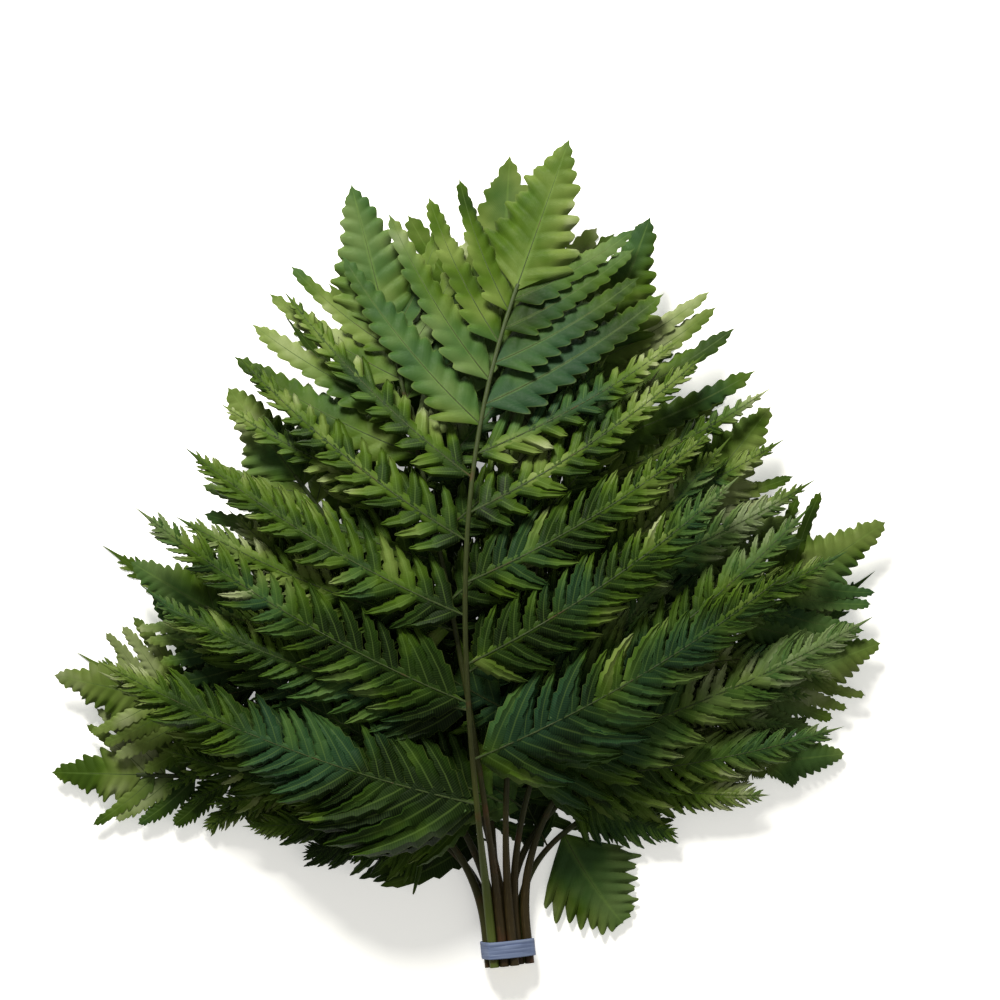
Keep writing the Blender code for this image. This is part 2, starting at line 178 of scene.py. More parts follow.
def leafletRib(line, s, angle, length, reach, curve, seed, pair, web):
    # the rib leaves the midrib at an angle and curls towards the tip; it runs on past
    # its end so that the last small leaves still have a place to stand
    side = 1.0 if angle >= 0.0 else -1.0
    share = np.linspace(0.0, leaflets["ribOver"], leaflets["ribPoints"])
    start = np.interp(s, line["along"], line["turn"]) + math.radians(angle)
    turn = start - side * math.radians(curve) * share
    step = length * (share[1] - share[0])
    root = midribPoint(line, s)
    x = root[0] + np.concatenate([[0.0], np.cumsum(np.sin(turn[:-1]) * step)])
    y = root[1] + np.concatenate([[0.0], np.cumsum(np.cos(turn[:-1]) * step)])
    return dict(layer=line["layer"], side=side, share=share, x=x, y=y, turn=turn, long=length,
                reach=reach, seed=seed, pair=pair, web=web, root=root)


def bladeLift(blade, share, offset):
    # half of a blade tilts up and half down within its layer's room, and its end droops
    # by the square of its way along
    up = (gapAbove(blade["layer"]) - bunch["gapKept"]) / 2.0
    down = (gapAbove(blade["layer"] - 1) - bunch["gapKept"]) / 2.0
    across = offset / blade["reach"]
    sway = ease(share / leaflets["swayOver"]) * (2.0 * draws(blade["seed"] + 0.25) - 1.0)
    rise = leaflets["tilt"] * (np.maximum(0.0, across) * up - np.maximum(0.0, -across) * down)
    rise = rise + leaflets["sway"] * sway * np.where(sway > 0.0, up, down)
    return np.clip(rise - leaflets["droop"] * share ** 2 * down, -down, up)


def bladePoint(blade, along, offset):
    # a place along the rib and off to its side, carried round the rib's curve and up to its layer
    share = along / blade["long"]
    turn = np.interp(share, blade["share"], blade["turn"])
    x = np.interp(share, blade["share"], blade["x"]) + blade["side"] * offset * np.cos(turn)
    y = np.interp(share, blade["share"], blade["y"]) - blade["side"] * offset * np.sin(turn)
    rise = layerRise(blade["layer"]) + bladeLift(blade, share, offset)
    z = bunch["lowestMidrib"] + pileShare(x, y) * rise
    if blade["layer"] == 0:
        lowest = leaflets["bladeThick"] / 2.0
        z = np.maximum(lowest, z - ease(share / leaflets["sagOver"]) * (bunch["lowestMidrib"] - lowest))
    return np.stack([x, y, z], axis=-1)


def edgeReach(blade, share):
    # how far the small leaves stand out from the rib: a power of what is left of its length
    left = np.clip(1.0 - np.asarray(share), 0.0, 1.0)
    rib = leaflets["ribHalf"] * np.minimum(1.0, left * leaflets["ribBlunt"])
    return blade["reach"] * left ** blade["taper"] + rib


# The small leaves on the leaflets of the first five pairs: how many a side and their teeth, how they
# stand on the rib, their outline, how they are arched, and the blade along the rib that they grow from
lobes = {
    "perSide": (24, 22, 19, 16, 13), "teeth": (4, 4, 3, 2, 1),
    "start": 0.03, "over": 0.93, "crowding": 1.3, "inner": 0.15, "outer": 0.5, "ahead": 0.02,
    "firstAngle": 60.0, "lastAngle": 42.0, "forwardCurve": 24.0, "sweep": 22.0,
    "shortest": 0.85, "lengthDraw": 0.26, "baseLong": 0.35, "baseOver": 0.5,
    "fill": 0.52, "slimmest": 0.13, "widest": 0.36,
    "rootWide": 0.80, "fullAt": 0.30, "tipPower": 2.2, "tipRound": 0.75, "tipWide": 0.03,
    "toothFrom": 0.16, "toothTo": 0.90, "toothAt": 0.80, "toothOut": 0.13, "toothIn": 0.20,
    "thick": 0.34, "groove": 0.20, "edgeDown": 0.30, "archOver": 0.2, "upperRelief": 0.05,
    "droop": 0.16, "twist": 0.66, "roll": 0.16, "rollLayers": 4.0, "raised": 0.25,
    "floor": 0.12, "pairStep": 0.03, "leafStep": 0.09, "edgeStep": 0.04,
    "tipTone": 0.9, "dryOver": 0.991, "dryTone": 1.1,
    "webFrom": 0.42, "webFull": 0.80, "webShare": 0.60, "webRoot": 0.06, "webStations": 24,
    "webWave": 0.07, "webLeast": 0.35, "webBlunt": 9.0, "webLean": 0.35, "webRaised": 0.12, "webStep": 0.3,
}


def toothStations(teeth):
    # stations along a small leaf and how far its edge stands there: each tooth points forward,
    # out at its tip and in at the notch just past it
    starts = np.linspace(lobes["toothFrom"], lobes["toothTo"], teeth + 1)
    tips = starts[:-1] + lobes["toothAt"] * np.diff(starts)
    station = np.concatenate([[0.0, 0.10], np.stack([tips, starts[1:]], axis=1).ravel(), [0.955, 1.0]])
    outIn = np.tile([1.0 + lobes["toothOut"], 1.0 - lobes["toothIn"]], teeth)
    return station, np.concatenate([[1.0, 1.0], outIn, [1.0, 1.0]])


def lobeWidth(s):
    # broad where it joins the rib, soon at its fullest, and drawn in by a power to a narrow tip
    full = lobes["rootWide"] + (1.0 - lobes["rootWide"]) * ease(s / lobes["fullAt"])
    return full * np.clip(1.0 - s ** lobes["tipPower"], 0.0, 1.0) ** lobes["tipRound"] + lobes["tipWide"]


def bladeRoll(blade):
    # each blade above the lowest layers leans a little to one side or the other
    way = 2.0 * draws(blade["seed"] + 0.9) - 1.0
    return lobes["roll"] * way * ease(blade["layer"] / lobes["rollLayers"])


def layerRelief(blade):
    # the upper fronds are arched a little more
    return 1.0 + lobes["upperRelief"] * blade["layer"]


def archLift(half, v, relief):
    # a sheet's arch across: a sunk middle, two crowns by a sine and edges turned down by a square
    return half * relief * (lobes["groove"] * np.sin(np.pi * np.abs(v)) - lobes["edgeDown"] * v ** 2)


def bothSheets(blade, sheet, count, step):
    # the upper sheet, five points across, over the under sheet, three across; both stay above
    # the surface under the bunch, each leaf on a small step of its own
    upper, upperUv = sheet((-1.0, -0.5, 0.0, 0.5, 1.0), 0.0)
    lower, lowerUv = sheet((-1.0, 0.0, 1.0), lobes["thick"])
    floor = lobes["floor"] + lobes["pairStep"] * blade["pair"] + step
    upper[..., 2] = np.maximum(upper[..., 2], floor + lobes["thick"])
    lower[..., 2] = np.maximum(lower[..., 2], floor)
    points = np.concatenate([upper.reshape(count, -1, 3), lower.reshape(count, -1, 3)], axis=1)
    uvs = np.concatenate([upperUv.reshape(count, -1, 2), lowerUv.reshape(count, -1, 2)], axis=1)
    return points, uvs


def lobeGrids(blade, e):
    # all the small leaves on one edge of a blade at once, as sheets of points; they stand closer
    # and shorter towards the blade's tip, and each curves forward along an arc
    count, long = blade["count"], blade["long"]
    station, edge = toothStations(blade["teeth"])
    number = np.arange(count)
    seeds = blade["seed"] * 61.0 + number + (0.0 if e > 0 else 31.0)
    left = 1.0 - (number + (lobes["inner"] if e > 0 else lobes["outer"])) / count
    crowding = lobes["crowding"]
    share = lobes["start"] + lobes["over"] * (1.0 - left ** crowding)
    pitch = lobes["over"] * crowding * left ** (crowding - 1.0) / count * long
    first, last = lobes["firstAngle"], lobes["lastAngle"]
    angle = np.radians(first + (last - first) * share + lobes["sweep"] * (draws(seeds) - 0.5))
    curl = math.radians(lobes["forwardCurve"])
    mean = angle - curl / 2.0
    length = edgeReach(blade, share + lobes["ahead"]) / np.sin(mean)
    length = length * (lobes["shortest"] + lobes["lengthDraw"] * draws(seeds + 0.5))
    if e > 0 and blade["pair"] == 0:
        length = length * (1.0 + lobes["baseLong"] * (1.0 - ease(share / lobes["baseOver"])))
    half = lobes["fill"] * pitch * np.sin(mean)
    half = np.clip(half, lobes["slimmest"] * length, lobes["widest"] * length)
    relief, roll = layerRelief(blade), bladeRoll(blade)
    twist = lobes["twist"] * (2.0 * draws(seeds + 0.75) - 1.0)

    def sheet(across, drop):
        s = station[None, :, None]
        v = np.asarray(across)[None, None, :]
        a0, l0, h0 = angle[:, None, None], length[:, None, None], half[:, None, None]
        way = a0 - curl * s
        along = share[:, None, None] * long + l0 * (np.sin(a0) - np.sin(way)) / curl
        off = l0 * (np.cos(way) - np.cos(a0)) / curl
        width = h0 * lobeWidth(s) * edge[None, :, None]
        along = along - v * width * np.sin(way)
        off = off + v * width * np.cos(way)
        point = bladePoint(blade, along, e * off)
        lift = archLift(h0, v, relief) * ease(s / lobes["archOver"]) - lobes["droop"] * l0 * s ** 2
        lift = lift + twist[:, None, None] * v * width * s + roll * e * off
        point[..., 2] += lift + lobes["raised"] - drop
        place = np.broadcast_arrays((v + 1.0) / 2.0, s * l0 / uvLength)
        return point, np.broadcast_to(np.stack(place, axis=-1), point.shape[:3] + (2,))

    step = lobes["leafStep"] * (number % 3)[:, None, None] + (lobes["edgeStep"] if e > 0 else 0.0)
    points, uvs = bothSheets(blade, sheet, count, step)
    dry = draws(seeds + 0.12) > lobes["dryOver"]
    tone = draws(seeds + 0.33) + lobes["dryTone"] * dry
    outward = np.concatenate([np.repeat(station, 5), np.repeat(station, 3)])
    tone = tone[:, None] + lobes["tipTone"] * (outward - 0.5)
    return points, uvs, tone, len(station), blade["side"] * e > 0.0


def webGrid(blade):
    # the blade along the rib that the small leaves grow out of: its share of their reach is the
    # web's at the base and rises to most of it near the tip, where it runs out to a point
    stations = lobes["webStations"]
    s = np.linspace(0.0, 1.0, stations)
    grown = ease((s - lobes["webFrom"] * (1.0 - blade["web"])) / lobes["webFull"])
    part = blade["web"] + (lobes["webShare"] - min(blade["web"], lobes["webShare"])) * grown
    part = part * ease(s / lobes["webRoot"])
    wave = 1.0 + lobes["webWave"] * np.where(np.arange(stations) % 2 == 0, 1.0, -1.0) * (s > 0.5)
    width = np.maximum(lobes["webLeast"], part * edgeReach(blade, s) * wave)
    width = width * np.minimum(1.0, (1.0 - s) * lobes["webBlunt"] + 0.06)
    relief, roll = layerRelief(blade), bladeRoll(blade)

    def sheet(across, drop):
        v = np.asarray(across)[None, :]
        off = v * width[:, None]
        along = (0.012 + 1.01 * s[:, None]) * blade["long"] + lobes["webLean"] * np.abs(off)
        point = bladePoint(blade, along, off)
        point[..., 2] += archLift(width[:, None], v, 0.5 * relief) + roll * off + lobes["webRaised"] - drop
        place = np.broadcast_arrays((v + 1.0) / 2.0, s[:, None] * blade["long"] / uvLength)
        return point, np.stack(place, axis=-1)

    points, uvs = bothSheets(blade, sheet, 1, lobes["webStep"])
    tone = np.full(points.shape[:2], draws(blade["seed"] + 0.66))
    return points, uvs, tone, stations, blade["side"] > 0.0


# The leaflets near the tip, the end blade and short leaflets are one blade each, cut into lobes:
# their number a side and the depth of the cuts, from the pair named first
lobedBlades = {
    "from": 5, "perSide": (13, 12, 11, 10), "depth": (0.30, 0.26, 0.24, 0.22),
    "endPerSide": 10, "endDepth": 0.22, "endLean": 0.5, "endFuller": 1.05,
    "hangingPerSide": 8, "hangingDepth": 0.24, "hangingTone": 1.35,
    "shortUnder": 0.4, "shortPerSide": 8, "shortDepth": 0.24,
    "perLobe": 7, "crowding": 1.25, "lean": 0.8, "fuller": 1.2, "lowestFuller": 1.7,
    "neck": 0.0875, "neckWide": 0.2, "least": 0.3, "blunt": 10.0, "smallest": 0.86, "sizeDraw": 0.28,
    "lobeBack": 1.5, "lobeRound": 0.75, "arch": 0.20, "lobeArch": 0.07, "lobeLow": 0.7,
    "raised": 0.3, "step": 0.05, "veinLean": 0.4,
}


def lobedGrid(blade):
    # one blade whose edges are cut into rounded lobes that lean forward: its width is the small
    # leaves' reach, less at each notch by the cut's depth, and the two edges' lobes alternate
    count = blade["count"]
    stations = count * lobedBlades["perLobe"] + 1
    step = np.linspace(0.0, 1.0, stations)
    share = 1.0 - (1.0 - step) ** lobedBlades["crowding"]
    full = blade["fuller"] * edgeReach(blade, share)
    full = full * ease(share / lobedBlades["neck"] + lobedBlades["neckWide"])
    full = np.maximum(lobedBlades["least"], full)
    full = full * np.minimum(1.0, (1.0 - share) * lobedBlades["blunt"] + 0.05)
    size = draws(blade["seed"] * 13.0 + np.floor(step * count + 1e-6))
    size = lobedBlades["smallest"] + lobedBlades["sizeDraw"] * size
    relief, roll = layerRelief(blade), bladeRoll(blade)

    def lobeShape(phase):
        # 1 along the lobe's back and 0 in the notch, rounder behind than in front
        wave = np.sin(np.pi * np.mod(phase, 1.0) ** lobedBlades["lobeBack"])
        return np.abs(wave) ** lobedBlades["lobeRound"]

    def sheet(across, drop):
        v = np.asarray(across)[None, :]
        shape = lobeShape((step * count)[:, None] + np.where(v > 0.0, 0.0, 0.5))
        cut = 1.0 - blade["depth"] * (1.0 - shape) * np.abs(v) ** 0.5
        off = v * full[:, None] * cut * size[:, None] ** np.abs(v)
        along = share[:, None] * blade["long"] + blade["lean"] * np.abs(off)
        point = bladePoint(blade, along, off)
        lift = archLift(full[:, None], v, lobedBlades["arch"] * relief)
        crown = lobedBlades["lobeArch"] * full[:, None] * np.abs(v) * (shape - lobedBlades["lobeLow"])
        point[..., 2] += lift + crown * relief + roll * off + lobedBlades["raised"] - drop
        veinAlong = share[:, None] * blade["long"] - lobedBlades["veinLean"] * np.abs(off)
        return point, np.stack(np.broadcast_arrays((v + 1.0) / 2.0, veinAlong / uvLength), axis=-1)

    points, uvs = bothSheets(blade, sheet, 1, lobedBlades["step"])
    tone = np.full(points.shape[:2], blade.get("tone", draws(blade["seed"] + 0.66)))
    return points, uvs, tone, stations, blade["side"] > 0.0


def frondBlades(line):
    # pairs of leaflets that shorten towards the tip by a fixed ratio, and the end blade
    blades = []
    frond, layer = line["frond"], line["layer"]
    ratio, pairs = leaflets["pairRatio"], leaflets["pairs"]
    fuller = lobedBlades["lowestFuller" if layer == 0 else "fuller"]
    for pair in range(pairs):
        web = leaflets["firstWeb"] + (leaflets["lastWeb"] - leaflets["firstWeb"]) * pair / pairs
        upper = pair - lobedBlades["from"]
        for side in (-1, 1):
            toTip = line["blade"] * ratio ** (pair + (leaflets["rightStagger"] if side > 0 else 0.0))
            seed = 100 * layer + 2 * pair + (1 if side > 0 else 0)
            first = frond["right"] if side > 0 else frond["left"]
            length = (leaflets["length"] + leaflets["lengthGrowth"] * pair) * toTip
            length *= leaflets["shortest"] + leaflets["lengthDraw"] * draws(seed)
            length *= max(leaflets["least"], 1.0 + (first - 1.0) * (1.0 - pair / pairs))
            angle = leaflets["firstAngle"] - leaflets["angleStep"] * pair
            angle += leaflets["angleDraw"] * (draws(seed + 0.5) - 0.5)
            reach = leaflets["reach"] * (1.0 - ratio) * toTip * math.sin(math.radians(angle))
            cut = dict(lobed=upper >= 0, taper=leaflets["taper"], lean=lobedBlades["lean"], fuller=fuller)
            if cut["lobed"]:
                cut.update(count=lobedBlades["perSide"][upper], depth=lobedBlades["depth"][upper])
            else:
                cut.update(count=lobes["perSide"][pair], teeth=lobes["teeth"][pair])
            if length < lobedBlades["shortUnder"] * leaflets["length"] * toTip:
                cut.update(lobed=True, count=lobedBlades["shortPerSide"], depth=lobedBlades["shortDepth"])
            if layer == leaflets["hangingFrond"] and pair == 0 and side > 0:
                angle, length, reach = [leaflets["hanging" + key] for key in ("Angle", "Length", "Reach")]
                cut.update(lobed=True, count=lobedBlades["hangingPerSide"],
                           depth=lobedBlades["hangingDepth"], tone=lobedBlades["hangingTone"])
            blade = leafletRib(line, line["long"] - toTip, side * angle, length, reach,
                               leaflets["inwardCurve"], seed, pair, web)
            blades.append(dict(blade, **cut))
    end = line["blade"] * ratio ** (pairs - leaflets["endFrom"])
    blade = leafletRib(line, line["long"] - end, 0.0, end, leaflets["endReach"] * end, 0.0,
                       100 * layer + 2 * pairs, pairs, leaflets["lastWeb"])
    blades.append(dict(blade, lobed=True, taper=leaflets["endTaper"], count=lobedBlades["endPerSide"],
                       depth=lobedBlades["endDepth"], lean=lobedBlades["endLean"],
                       fuller=lobedBlades["endFuller"]))
    return blades


def lobeFaces(stations, flip):
    # the faces of one small leaf: upper sheet, under sheet, the rim between them and both ends
    top = np.arange(stations * 5).reshape(stations, 5)
    low = stations * 5 + np.arange(stations * 3).reshape(stations, 3)

    def quads(grid):
        corners = [grid[:-1, :-1], grid[1:, :-1], grid[1:, 1:], grid[:-1, 1:]]
        return np.stack(corners, axis=-1).reshape(-1, 4)

    left = np.stack([low[:-1, 0], low[1:, 0], top[1:, 0], top[:-1, 0]], axis=-1)
    right = np.stack([top[:-1, 4], top[1:, 4], low[1:, 2], low[:-1, 2]], axis=-1)
    four = np.concatenate([quads(top), quads(low)[:, ::-1], left, right])
    eight = np.array([list(top[0]) + list(low[0][::-1]), list(top[-1][::-1]) + list(low[-1])])
    rows = stations - 1
    under = np.repeat([0.0, 1.0, 0.0], [4 * rows, 2 * rows, 2 * rows])
    if flip:
        four, eight = four[:, ::-1], eight[:, ::-1]
    return four, eight, under


def tubeFaces(stations, sides):
    # four-cornered faces round and along a closed tube, and a cap at each end
    grid = np.arange(stations * sides).reshape(stations, sides)
    after = np.roll(grid, -1, axis=1)
    four = np.stack([grid[:-1], grid[1:], after[1:], after[:-1]], axis=-1).reshape(-1, 4)
    return four, np.array([list(grid[0]), list(grid[-1][::-1])])


def tube(middle, radius, angles):
    # a closed tube: an outline of radii round each point of a path, square to the path
    slope = np.gradient(middle, axis=0)
    slope /= np.linalg.norm(slope, axis=1)[:, None]
    right = np.stack([slope[:, 1], -slope[:, 0], np.zeros(len(slope))], axis=-1)
    right /= np.linalg.norm(right, axis=1)[:, None]
    up = np.cross(right, slope)
    cosines, sines = np.cos(angles)[None, :, None], np.sin(angles)[None, :, None]
    ring = cosines * right[:, None, :] + sines * up[:, None, :]
    points = middle[:, None, :] + radius[..., None] * ring
    stations, sides = radius.shape
    turnShare = np.broadcast_to(np.arange(sides) / sides, (stations, sides))
    return points.reshape(-1, 3), tubeFaces(stations, sides), turnShare.reshape(-1)


class Parts:
    # gathers points, faces, uv, tones, and ages that on the leaves also carry painted light and shade, and
    # becomes one mesh
    def __init__(self):
        self.points, self.uvs, self.tones, self.agesAndLight = [], [], [], []
        self.faces = []  # (corner indices, material index) blocks, each of one face size
        self.count = 0

    def add(self, points, uvs, tones, agesAndLight, blocks):
        for corners, finish in blocks:
            self.faces.append((np.asarray(corners) + self.count, np.broadcast_to(finish, len(corners))))
        self.points.append(points)
        self.uvs.append(uvs)
        self.tones.append(tones)
        self.agesAndLight.append(agesAndLight)
        self.count += len(points)


def putMesh(name, parts, finishes, replaced, sharp):
    # one mesh of all the gathered parts, in metres at its place in the frame
    points = (np.concatenate(parts.points) + shift) * mm
    loops = np.concatenate([corners.ravel() for corners, finish in parts.faces])
    sizes = np.concatenate([np.full(len(corners), corners.shape[1]) for corners, finish in parts.faces])
    starts = np.concatenate([[0], np.cumsum(sizes)[:-1]])
    mesh = bpy.data.meshes.new(name)
    mesh.vertices.add(len(points))
    mesh.vertices.foreach_set("co", points.astype(np.float32).ravel())
    mesh.loops.add(len(loops))
    mesh.loops.foreach_set("vertex_index", loops.astype(np.int32))
    mesh.polygons.add(len(sizes))
    mesh.polygons.foreach_set("loop_start", starts.astype(np.int32))
    chosen = np.concatenate([finish for corners, finish in parts.faces])
    mesh.polygons.foreach_set("material_index", chosen.astype(np.int32))
    mesh.update(calc_edges=True)
    uvLayer = mesh.uv_layers.new(name="along")
    uvLayer.data.foreach_set("uv", np.concatenate(parts.uvs)[loops].astype(np.float32).ravel())
    # the age attribute also carries the leaves' painted light and shade
    for label, values in (("tone", parts.tones), ("ageAndLight", parts.agesAndLight)):
        layer = mesh.attributes.new(label, "FLOAT", "POINT")
        layer.data.foreach_set("value", np.concatenate(values).astype(np.float32))
    mesh.shade_smooth()
    mesh.set_sharp_from_angle(angle=math.radians(sharp))
    for material in finishes:
        mesh.materials.append(material)
    piece = bpy.data.objects.new(name, mesh)
    bpy.context.scene.collection.objects.link(piece)
    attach(piece, "root")
    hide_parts(replaced)
    return piece


def linear(hexColour):
    # sRGB hex to linear light
    parts = [int(hexColour[i:i + 2], 16) / 255.0 for i in (1, 3, 5)]
    return tuple(p / 12.92 if p <= 0.04045 else ((p + 0.055) / 1.055) ** 2.4 for p in parts) + (1.0,)


def perMetre(size):
    # a pattern's scale on Object coordinates, which are in metres, from its size in millimetres
    return 1.0 / (size * mm)


def newFinish(name, roughness, specular):
    material = bpy.data.materials.new(name)
    material.use_nodes = True
    shader = material.node_tree.nodes["Principled BSDF"]
    shader.inputs["Roughness"].default_value = roughness
    shader.inputs["Specular IOR Level"].default_value = specular
    return material, shader


def feed(made, sockets):
    # fills numbered (i0, i1) or named inputs with values or with other nodes' outputs
    for key, value in sockets.items():
        numbered = key[0] == "i" and key[1:].isdigit()
        socket = made.inputs[int(key[1:])] if numbered else made.inputs[key.replace("_", " ")]
        if isinstance(value, bpy.types.NodeSocket):
            made.id_data.links.new(value, socket)
        else:
            socket.default_value = value


def node(material, kind, settings=None, out=0, **sockets):
    # adds a node with its settings, colour stops and inputs, and gives back one of its outputs
    made = material.node_tree.nodes.new("ShaderNode" + kind)
    for key, value in (settings or {}).items():
        if key != "stops":
            setattr(made, key, value)
            continue
        for index, (place, colour) in enumerate(value):
            band = made.color_ramp.elements
            stop = band[index] if index < 2 else band.new(place)
            stop.position = place
            stop.color = linear(colour)
    feed(made, sockets)
    return made.outputs[out]


times = {"operation": "MULTIPLY"}
timesAdd = {"operation": "MULTIPLY_ADD"}
less = {"operation": "SUBTRACT"}
colours = {"data_type": "RGBA"}  # a mix of i6 and i7 by i0, given back at output 2

# Sizes of the patterns on the leaves, in millimetres, among them the patches of painted sheen, and how far
# the side veins slant
leafSkin = {
    "patch": 41.667, "sheenPatch": 62.5, "underPatch": 33.333, "grain": 1.1111,
    "veinSpacing": 1.2083, "veinSlant": 16.0, "relief": 0.3,
}


def leafPlace(material):
    # where a point is, how far it is from its leaf's midvein, its leaf's tone, and a sine
    # that runs once through for each forked side vein
    place = node(material, "TexCoord", out="Object")
    uv = node(material, "UVMap", {"uv_map": "along"})
    acrossUv = node(material, "SeparateXYZ", i0=uv)
    alongUv = acrossUv.node.outputs[1]
    across = node(material, "Math", less, i0=acrossUv, i1=0.5)
    across = node(material, "Math", {"operation": "ABSOLUTE"}, i0=across)
    tone = node(material, "Attribute", {"attribute_name": "tone"}, "Fac")
    turns = node(material, "Math", times, i0=alongUv, i1=2.0 * math.pi * uvLength / leafSkin["veinSpacing"])
    slant = node(material, "Math", times, i0=across, i1=leafSkin["veinSlant"])
    forks = node(material, "Math", less, i0=turns, i1=slant)
    return place, across, tone, node(material, "Math", {"operation": "SINE"}, i0=forks)


def fernUpper():
    # live leatherleaf, upper side: a thick waxy skin that is nearly matt in soft light, sunk
    # midveins, forked side veins and a paler rim; patches drift through deep greens, the age attribute
    # brings painted light and shade, and blue-green patches are a painted sheen
    skin, shader = newFinish("leatherleafUpperSkin", 0.55, 0.07)
    place, across, tone, veins = leafPlace(skin)
    ageAndLight = node(skin, "Attribute", {"attribute_name": "ageAndLight"}, "Fac")
    patches = node(skin, "TexNoise", Vector=place, Scale=perMetre(leafSkin["patch"]), Detail=3.0)
    broad = node(skin, "MapRange", Value=patches, i1=0.36, i2=0.64, i3=0.0, i4=1.0)
    fine = node(skin, "TexNoise", Vector=place, Scale=perMetre(leafSkin["grain"]), Detail=2.0)
    pale = node(skin, "Math", times, i0=tone, i1=0.28)
    pale = node(skin, "Math", timesAdd, i0=broad, i1=0.42, i2=pale)
    # painted light and shade from the age attribute: paler at the outline and low sides, darker low in the
    # middle
    pale = node(skin, "Math", timesAdd, i0=ageAndLight, i1=0.45, i2=pale)
    greens = [(0.20, "#081302"), (0.42, "#182a05"), (0.62, "#354a0c"), (0.82, "#586730"), (0.99, "#7d8560")]
    colour = node(skin, "ValToRGB", {"stops": greens}, i0=pale)
    # painted sheen: blue-green patches standing in for the sky's reflection
    sheenNoise = node(skin, "TexNoise", Vector=place, Scale=perMetre(leafSkin["sheenPatch"]), Detail=1.0)
    paintedSheen = node(skin, "MapRange", Value=sheenNoise, i1=0.52, i2=0.64, i3=0.0, i4=0.38)
    colour = node(skin, "Mix", colours, 2, i0=paintedSheen, i6=colour, i7=linear("#234431"))
    sideVein = node(skin, "MapRange", Value=veins, i1=0.55, i2=1.0, i3=0.0, i4=0.16)
    colour = node(skin, "Mix", colours, 2, i0=sideVein, i6=colour, i7=linear("#4a622c"))
    midvein = node(skin, "MapRange", Value=across, i1=0.0, i2=0.05, i3=0.32, i4=0.0)
    colour = node(skin, "Mix", colours, 2, i0=midvein, i6=colour, i7=linear("#5f7838"))
    rim = node(skin, "MapRange", Value=across, i1=0.45, i2=0.50, i3=0.0, i4=0.30)
    colour = node(skin, "Mix", colours, 2, i0=rim, i6=colour, i7=linear("#5a6830"))
    grain = node(skin, "Math", times, i0=fine, i1=0.16)
    colour = node(skin, "Mix", colours, 2, i0=grain, i6=colour, i7=linear("#162c0c"))
    rough = node(skin, "MapRange", Value=fine, i1=0.3, i2=0.7, i3=0.50, i4=0.66)
    height = node(skin, "Math", times, i0=fine, i1=0.35)
    height = node(skin, "Math", timesAdd, i0=veins, i1=0.10, i2=height)
    height = node(skin, "Math", timesAdd, i0=midvein, i1=-0.9, i2=height)
    bump = node(skin, "Bump", Height=height, Strength=0.35, Distance=leafSkin["relief"] * mm)
    feed(shader, dict(Base_Color=colour, Roughness=rough, Normal=bump))
    return skin


def fernUnder():
    # the matt, paler under side, with raised veins
    skin, shader = newFinish("leatherleafUnderSkin", 0.68, 0.35)
    place, across, tone, veins = leafPlace(skin)
    patches = node(skin, "TexNoise", Vector=place, Scale=perMetre(leafSkin["underPatch"]), Detail=3.0)
    pale = node(skin, "Math", times, i0=tone, i1=0.3)
    pale = node(skin, "Math", timesAdd, i0=patches, i1=0.6, i2=pale)
    greens = [(0.2, "#2f4520"), (0.5, "#425c2b"), (0.8, "#5c7440")]
    colour = node(skin, "ValToRGB", {"stops": greens}, i0=pale)
    midvein = node(skin, "MapRange", Value=across, i1=0.0, i2=0.06, i3=0.6, i4=0.0)
    colour = node(skin, "Mix", colours, 2, i0=midvein, i6=colour, i7=linear("#7b8a52"))
    height = node(skin, "Math", timesAdd, i0=veins, i1=0.2, i2=midvein)
    bump = node(skin, "Bump", Height=height, Strength=0.5, Distance=leafSkin["relief"] * mm)
    feed(shader, dict(Base_Color=colour, Normal=bump))
    return skin


# Streaks to a stem's girth and to a centimetre of its length, and millimetre sizes on stalk and cut face
stalkSkin = {"streaks": (26.0, 1.6, 1.0), "blotch": 11.111, "relief": 0.4, "strand": 1.1111}


def fernStalk():
    # living stalk: olive brown and grooved in the stem, deep green up the midrib, with fine
    # lengthwise streaks; the tone runs from 0 at the cut end to 1 at the tip, and an old
    # frond's stem is greener
    skin, shader = newFinish("fernStalkOliveBrown", 0.50, 0.22)
    place = node(skin, "TexCoord", out="Object")
    uv = node(skin, "UVMap", {"uv_map": "along"})
    tone = node(skin, "Attribute", {"attribute_name": "tone"}, "Fac")
    ageAndLight = node(skin, "Attribute", {"attribute_name": "ageAndLight"}, "Fac")
    stretched = node(skin, "Mapping", Vector=uv, Scale=stalkSkin["streaks"])
    streak = node(skin, "TexNoise", Vector=stretched, Scale=1.0, Detail=4.0)
    blotch = node(skin, "TexNoise", Vector=place, Scale=perMetre(stalkSkin["blotch"]), Detail=2.0)
    browns = [(0.0, "#2b2109"), (0.14, "#332a0f"), (0.26, "#2b3010"), (0.8, "#2f4017")]
    colour = node(skin, "ValToRGB", {"stops": browns}, i0=tone)
    dark = node(skin, "MapRange", Value=streak, i1=0.35, i2=0.65, i3=0.55, i4=0.0)
    colour = node(skin, "Mix", colours, 2, i0=dark, i6=colour, i7=linear("#17130a"))
    green = node(skin, "MapRange", Value=ageAndLight, i1=0.50, i2=0.95, i3=0.0, i4=0.80)
    fade = node(skin, "MapRange", Value=tone, i1=0.12, i2=0.26, i3=1.0, i4=0.0)
    green = node(skin, "Math", times, i0=green, i1=fade)
    colour = node(skin, "Mix", colours, 2, i0=green, i6=colour, i7=linear("#47551f"))
    light = node(skin, "MapRange", Value=streak, i1=0.58, i2=0.80, i3=0.0, i4=0.38)
    colour = node(skin, "Mix", colours, 2, i0=light, i6=colour, i7=linear("#66643a"))
    rust = node(skin, "MapRange", Value=blotch, i1=0.60, i2=0.75, i3=0.0, i4=0.45)
    colour = node(skin, "Mix", colours, 2, i0=rust, i6=colour, i7=linear("#4a2716"))
    bump = node(skin, "Bump", Height=streak, Strength=0.5, Distance=stalkSkin["relief"] * mm)
    feed(shader, dict(Base_Color=colour, Normal=bump))
    return skin


